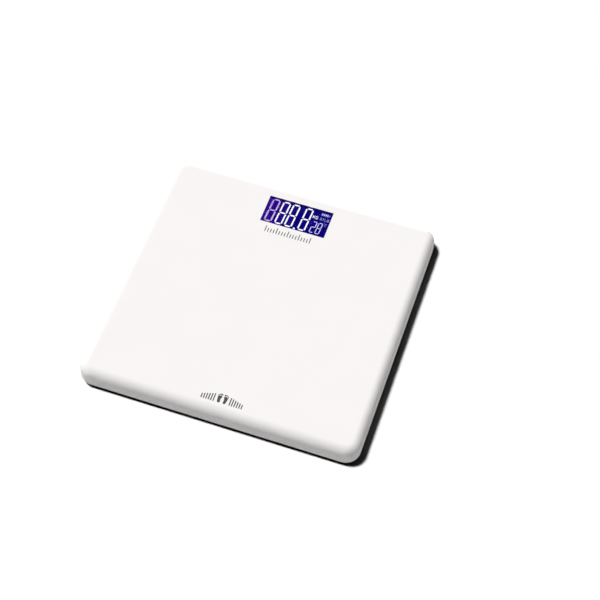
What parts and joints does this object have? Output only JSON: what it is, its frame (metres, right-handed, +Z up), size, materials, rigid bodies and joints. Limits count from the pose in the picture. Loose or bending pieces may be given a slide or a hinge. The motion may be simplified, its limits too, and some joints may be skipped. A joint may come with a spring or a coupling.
{
  "type": "digital bathroom scale",
  "caption": "Thin square platform scale with a rolled white top cover, a back-lit digital readout near its back edge, load-cell feet at the corners and a battery door underneath.",
  "frame": {"origin": "on the floor, under the centre of the platform's outline", "axes": "+X to the right for the person standing on it, +Y towards the readout at the back, +Z up"},
  "size_m": [0.305, 0.3, 0.026],
  "materials": {
    "cover_white": "satin white moulded plastic",
    "base_black": "fine-textured black moulded plastic",
    "sheet_steel": "zinc-plated pressed sheet",
    "clear_lens": "clear polished acrylic",
    "black_foam": "closed-cell foam",
    "lcd_glass": "blue back-lit display glass",
    "light_guide": "milky light guide",
    "contact_rubber": "layered conductive rubber",
    "natural_plastic": "unpigmented moulded plastic",
    "circuit_board": "green solder mask",
    "black_resin": "cast resin",
    "component_dark": "moulded component bodies",
    "zinc_screw": "zinc plated",
    "black_screw": "black zinc plated",
    "button_grey": "satin grey moulded plastic",
    "battery_wrap": "printed shrink wrap over a steel can",
    "nickel_contact": "nickel plated",
    "wire_cover": "flexible wire insulation",
    "label_silver": "blank silver film label",
    "white_sealant": "silicone sealant",
    "holder_black": "black moulded plastic",
    "pad_rubber": "soft grooved rubber"
  },
  "bodies": {
    "platform": {"top_cover": "cover_white", "base_tray": "base_black", "stiffener_plate": "sheet_steel", "display_lens": "clear_lens", "lens_gasket": "black_foam", "lcd_panel": "lcd_glass", "lcd_backlight": "light_guide", "zebra_strip": "contact_rubber", "display_holder": "natural_plastic", "main_board": "circuit_board", "chip_cover": "black_resin", "board_components": "component_dark", "wire_connectors": "natural_plastic", "board_screws": "zinc_screw", "housing_screws": "black_screw", "holder_screws": "zinc_screw", "switch_body": "component_dark", "battery_front": "battery_wrap", "battery_back": "battery_wrap", "contact_springs": "nickel_contact", "contact_plates": "nickel_contact", "battery_leads": "wire_cover", "wire_clips": "natural_plastic", "rating_label": "label_silver", "load_cell_front_left": "sheet_steel", "strain_gauge_front_left": "white_sealant", "cell_holder_front_left": "holder_black", "cell_wires_front_left": "wire_cover", "load_cell_front_right": "sheet_steel", "strain_gauge_front_right": "white_sealant", "cell_holder_front_right": "holder_black", "cell_wires_front_right": "wire_cover", "load_cell_back_left": "sheet_steel", "strain_gauge_back_left": "white_sealant", "cell_holder_back_left": "holder_black", "cell_wires_back_left": "wire_cover", "load_cell_back_right": "sheet_steel", "strain_gauge_back_right": "white_sealant", "cell_holder_back_right": "holder_black", "cell_wires_back_right": "wire_cover"},
    "battery_door": {"battery_door": "base_black"},
    "unit_button": {"unit_button": "button_grey", "switch_plunger": "natural_plastic"},
    "foot_front_left": {"foot_carrier_front_left": "holder_black", "foot_pad_front_left": "pad_rubber", "foot_retainer_front_left": "zinc_screw"},
    "foot_front_right": {"foot_carrier_front_right": "holder_black", "foot_pad_front_right": "pad_rubber", "foot_retainer_front_right": "zinc_screw"},
    "foot_back_left": {"foot_carrier_back_left": "holder_black", "foot_pad_back_left": "pad_rubber", "foot_retainer_back_left": "zinc_screw"},
    "foot_back_right": {"foot_carrier_back_right": "holder_black", "foot_pad_back_right": "pad_rubber", "foot_retainer_back_right": "zinc_screw"}
  },
  "joints": [
    {"name": "battery_door_hinge", "type": "hinge", "parent": "platform", "child": "battery_door", "pos_m": [0, 0.0174, 0.00455], "axis": [-1, 0, 0], "range_deg": [0, 78]},
    {"name": "unit_button_press", "type": "slide", "parent": "platform", "child": "unit_button", "axis": [0, 0, 1], "range_m": [0, 0.0008], "stiffness_N_per_m": 300, "springref_m": -0.0001},
    {"name": "foot_front_left_travel", "type": "slide", "parent": "platform", "child": "foot_front_left", "axis": [0, 0, 1], "range_m": [0, 0.00045], "stiffness_N_per_m": 1000, "springref_m": -0.006, "deforming": ["load_cell_front_left"]},
    {"name": "foot_front_right_travel", "type": "slide", "parent": "platform", "child": "foot_front_right", "axis": [0, 0, 1], "range_m": [0, 0.00045], "stiffness_N_per_m": 1000, "springref_m": -0.006, "deforming": ["load_cell_front_right"]},
    {"name": "foot_back_left_travel", "type": "slide", "parent": "platform", "child": "foot_back_left", "axis": [0, 0, 1], "range_m": [0, 0.00045], "stiffness_N_per_m": 1000, "springref_m": -0.006, "deforming": ["load_cell_back_left"]},
    {"name": "foot_back_right_travel", "type": "slide", "parent": "platform", "child": "foot_back_right", "axis": [0, 0, 1], "range_m": [0, 0.00045], "stiffness_N_per_m": 1000, "springref_m": -0.006, "deforming": ["load_cell_back_right"]}
  ]
}
